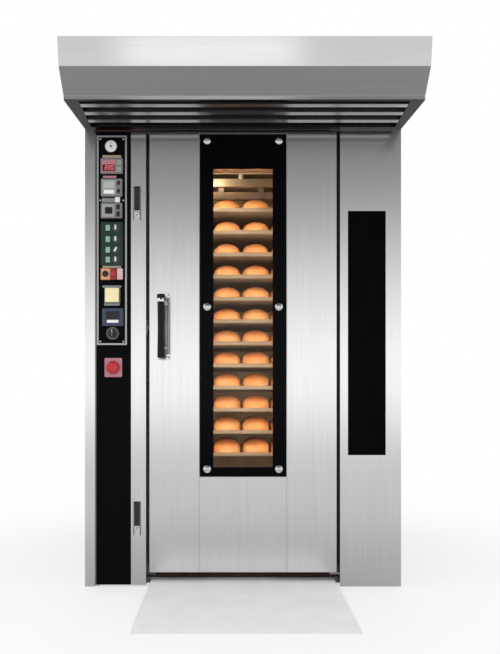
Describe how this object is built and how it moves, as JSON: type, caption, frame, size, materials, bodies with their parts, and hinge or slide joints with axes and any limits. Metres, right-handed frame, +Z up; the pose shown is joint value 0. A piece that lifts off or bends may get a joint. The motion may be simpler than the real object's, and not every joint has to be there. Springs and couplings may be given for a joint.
{
  "type": "rotating rack oven",
  "caption": "Bakery rack oven: insulated steel casing with a turning tray rack, a hinged glazed door, a control door, an extractor hood and a ramp.",
  "frame": {"origin": "where the turntable's axis meets the ground", "axes": "+Z up, -Y towards the user at the door, +X to the user's right"},
  "size_m": [1.484, 2.474, 2.552],
  "materials": {
    "skin_steel": "fine vertical brushing, satin",
    "inner_steel": "plain mill finish",
    "chamber_steel": "heat-tinted stainless steel",
    "rack_steel": "satin, slightly heat-tinted",
    "ramp_steel": "pale, rolled and scuffed",
    "heat_steel": "oxidised by heat",
    "dark_steel": "zinc-grey paint",
    "machine_paint": "machine blue-grey paint",
    "bright_chrome": "polished",
    "lock_zinc": "black powder coat over zinc",
    "black_plate": "smooth black front foil on sheet",
    "black_glass": "black enamel behind toughened glass",
    "clear_glass": "clear toughened glass",
    "lamp_glass": "frosted lamp glass",
    "mineral_wool": "mineral wool slab",
    "crust": "baked golden crust",
    "tray_aluminium": "used baking tray",
    "silicone": "dark red silicone",
    "wheel_resin": "heat-proof resin",
    "grip_plastic": "black heat-proof plastic",
    "module_plastic": "grey and coloured control modules",
    "cabinet_plastic": "switchgear plastic on a zinc plate",
    "knob_plastic": "pale moulded knob",
    "cream_plastic": "cream moulded cap",
    "red_plastic": "red moulded cap"
  },
  "bodies": {
    "casing": {"base_frame": "dark_steel", "floor_plate": "inner_steel", "side_panels": "skin_steel", "rear_panel": "skin_steel", "roof_panel": "skin_steel", "left_front_post": "skin_steel", "right_front_panel": "skin_steel", "badge_plate": "black_plate", "door_surround": "skin_steel", "ramp": "ramp_steel", "chamber_liner": "chamber_steel", "insulation": "mineral_wool", "heat_exchanger": "heat_steel", "burner": "machine_paint", "flue_and_vent_pipes": "inner_steel", "steam_generator": "heat_steel", "fan_housing": "inner_steel", "fan_motor": "machine_paint", "hood_shell": "skin_steel", "hood_slats": "inner_steel", "rack_gearmotor": "machine_paint", "oven_lamps": "lamp_glass", "electrical_plate": "cabinet_plastic"},
    "damper": {"vent_damper": "inner_steel"},
    "fan": {"fan_impeller": "inner_steel"},
    "carousel": {"turntable": "inner_steel", "drive_shaft": "inner_steel", "rack_frame": "rack_steel", "trays": "tray_aluminium", "loaves": "crust"},
    "castor_left": {"castor_swivel_left": "dark_steel"},
    "castor_right": {"castor_swivel_right": "dark_steel"},
    "wheel_left": {"castor_wheel_front_left": "wheel_resin"},
    "wheel_right": {"castor_wheel_front_right": "wheel_resin"},
    "wheels_rear": {"castor_wheels_rear": "wheel_resin"},
    "door": {"door_core": "inner_steel", "door_panels": "skin_steel", "window_frame": "black_glass", "window_glass": "clear_glass", "window_caps": "bright_chrome", "door_seal": "silicone", "door_handle_base": "bright_chrome"},
    "handle": {"door_handle_lever": "grip_plastic"},
    "latch": {"latch_bolt": "dark_steel"},
    "control_door": {"service_door": "skin_steel", "control_panel": "black_plate", "panel_modules": "module_plastic", "lock_housings": "lock_zinc"},
    "upper_paddle": {"lock_handle_upper": "lock_zinc"},
    "lower_paddle": {"lock_handle_lower": "lock_zinc"},
    "switch_1": {"selector_1": "knob_plastic"},
    "switch_2": {"selector_2": "knob_plastic"},
    "switch_3": {"selector_3": "knob_plastic"},
    "switch_4": {"selector_4": "knob_plastic"},
    "start_cap": {"push_button_start": "grip_plastic"},
    "stop_cap": {"push_button_stop": "red_plastic"},
    "light_cap": {"light_button": "cream_plastic"},
    "key_knob": {"key_switch": "knob_plastic"},
    "mushroom": {"emergency_stop": "red_plastic"},
    "needle": {"gauge_needle": "red_plastic"}
  },
  "joints": [
    {"name": "door_swing", "type": "hinge", "parent": "casing", "child": "door", "pos_m": [0.409, -0.526, 1], "axis": [0, 0, 1], "range_deg": [0, 120]},
    {"name": "handle_pull", "type": "hinge", "parent": "door", "child": "handle", "pos_m": [-0.337, -0.562, 1.175], "axis": [0, 0, 1], "range_deg": [0, 25]},
    {"name": "latch_slide", "type": "slide", "parent": "door", "child": "latch", "axis": [1, 0, 0], "range_m": [0, 0.01]},
    {"name": "control_door_swing", "type": "hinge", "parent": "casing", "child": "control_door", "pos_m": [-0.657, -0.534, 1], "axis": [0, 0, -1], "range_deg": [0, 110]},
    {"name": "upper_lock_flip", "type": "hinge", "parent": "control_door", "child": "upper_paddle", "pos_m": [-0.479, -0.535, 1.804], "axis": [-1, 0, 0], "range_deg": [0, 35]},
    {"name": "lower_lock_flip", "type": "hinge", "parent": "control_door", "child": "lower_paddle", "pos_m": [-0.479, -0.535, 0.378], "axis": [-1, 0, 0], "range_deg": [0, 35]},
    {"name": "selector_1_turn", "type": "hinge", "parent": "control_door", "child": "switch_1", "pos_m": [-0.574, -0.55, 1.621], "axis": [0, 1, 0], "range_deg": [0, 90]},
    {"name": "selector_2_turn", "type": "hinge", "parent": "control_door", "child": "switch_2", "pos_m": [-0.574, -0.55, 1.57], "axis": [0, 1, 0], "range_deg": [0, 90]},
    {"name": "selector_3_turn", "type": "hinge", "parent": "control_door", "child": "switch_3", "pos_m": [-0.574, -0.55, 1.522], "axis": [0, 1, 0], "range_deg": [0, 90]},
    {"name": "selector_4_turn", "type": "hinge", "parent": "control_door", "child": "switch_4", "pos_m": [-0.574, -0.55, 1.478], "axis": [0, 1, 0], "range_deg": [0, 90]},
    {"name": "start_push", "type": "slide", "parent": "control_door", "child": "start_cap", "axis": [0, 1, 0], "range_m": [0, 0.003], "stiffness_N_per_m": 300, "springref_m": -0.002},
    {"name": "stop_push", "type": "slide", "parent": "control_door", "child": "stop_cap", "axis": [0, 1, 0], "range_m": [0, 0.003], "stiffness_N_per_m": 300, "springref_m": -0.002},
    {"name": "light_push", "type": "slide", "parent": "control_door", "child": "light_cap", "axis": [0, 1, 0], "range_m": [0, 0.003], "stiffness_N_per_m": 300, "springref_m": -0.002},
    {"name": "key_turn", "type": "hinge", "parent": "control_door", "child": "key_knob", "pos_m": [-0.589, -0.55, 1.145], "axis": [0, 1, 0], "range_deg": [0, 90]},
    {"name": "emergency_push", "type": "slide", "parent": "control_door", "child": "mushroom", "axis": [0, 1, 0], "range_m": [0, 0.005]},
    {"name": "gauge_turn", "type": "hinge", "parent": "control_door", "child": "needle", "pos_m": [-0.596, -0.55, 1.989], "axis": [0, 1, 0], "range_deg": [-120, 120], "stiffness_Nm_per_rad": 0.01},
    {"name": "turntable_spin", "type": "hinge", "parent": "casing", "child": "carousel", "pos_m": [0, 0, 0], "axis": [0, 0, 1], "continuous": true},
    {"name": "castor_left_swivel", "type": "hinge", "parent": "carousel", "child": "castor_left", "pos_m": [-0.3, -0.185, 0.1], "axis": [0, 0, 1], "continuous": true},
    {"name": "castor_right_swivel", "type": "hinge", "parent": "carousel", "child": "castor_right", "pos_m": [0.3, -0.185, 0.1], "axis": [0, 0, 1], "continuous": true},
    {"name": "wheel_left_roll", "type": "hinge", "parent": "castor_left", "child": "wheel_left", "pos_m": [-0.3, -0.165, 0.0738], "axis": [1, 0, 0], "continuous": true},
    {"name": "wheel_right_roll", "type": "hinge", "parent": "castor_right", "child": "wheel_right", "pos_m": [0.3, -0.165, 0.0738], "axis": [1, 0, 0], "continuous": true},
    {"name": "wheels_rear_roll", "type": "hinge", "parent": "carousel", "child": "wheels_rear", "pos_m": [0, 0.185, 0.0738], "axis": [1, 0, 0], "continuous": true},
    {"name": "fan_spin", "type": "hinge", "parent": "casing", "child": "fan", "pos_m": [0, 0.73, 2], "axis": [0, 0, 1], "continuous": true},
    {"name": "damper_turn", "type": "hinge", "parent": "casing", "child": "damper", "pos_m": [-0.25, 0.23, 2.307], "axis": [1, 0, 0], "range_deg": [0, 90]}
  ],
  "couplings": [
    {"joint": "latch_slide", "follows": "handle_pull", "m_per_rad": 0.0229}
  ]
}
